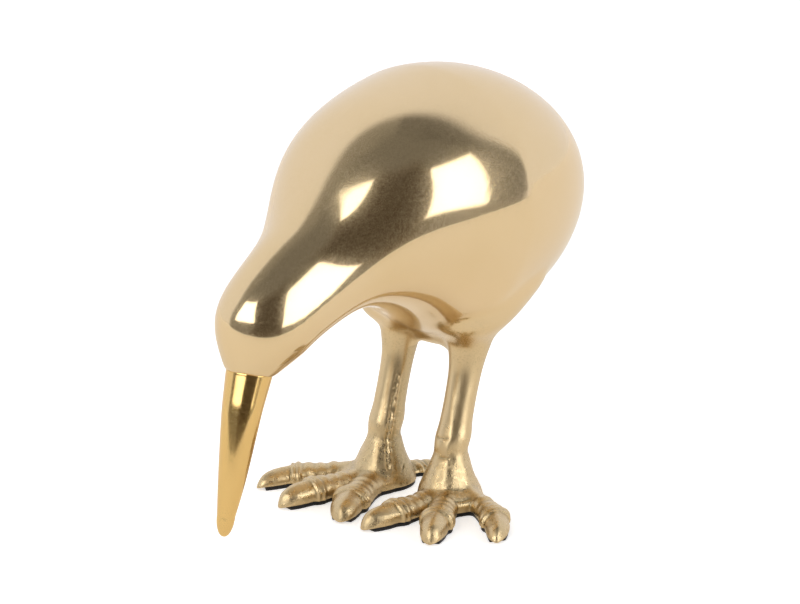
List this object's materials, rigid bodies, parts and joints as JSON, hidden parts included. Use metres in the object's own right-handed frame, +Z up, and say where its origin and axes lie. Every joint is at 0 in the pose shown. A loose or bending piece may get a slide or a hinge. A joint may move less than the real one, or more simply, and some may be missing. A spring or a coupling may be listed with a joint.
{
  "type": "kiwi bird figurine",
  "caption": "Cast brass kiwi bird ornament with a polished hollow egg-shaped body, a long slim beak and clawed feet on felt pads.",
  "frame": {"origin": "on the table, under the middle of the whole figure's box", "axes": "+X to the bird's left, +Y to its rump (the beak points along -Y), +Z up"},
  "size_m": [0.1272, 0.2322, 0.1948],
  "materials": {
    "polished_brass": "mirror polished",
    "beak_brass": "polished",
    "cast_brass": "satin, sand-cast grain",
    "steel": "plain",
    "felt": "felt"
  },
  "bodies": {
    "root": {"body_shell_left": "polished_brass", "body_shell_right": "polished_brass", "beak": "beak_brass", "leg_left": "cast_brass", "leg_right": "cast_brass", "foot_pad_left": "felt", "foot_pad_right": "felt", "leg_stud_left": "steel", "leg_stud_right": "steel", "leg_washer_left": "steel", "leg_washer_right": "steel", "leg_nut_left": "steel", "leg_nut_right": "steel", "beak_pin": "steel", "seam_dowel_back": "steel", "seam_dowel_rump": "steel", "seam_dowel_head": "steel"}
  },
  "joints": []
}
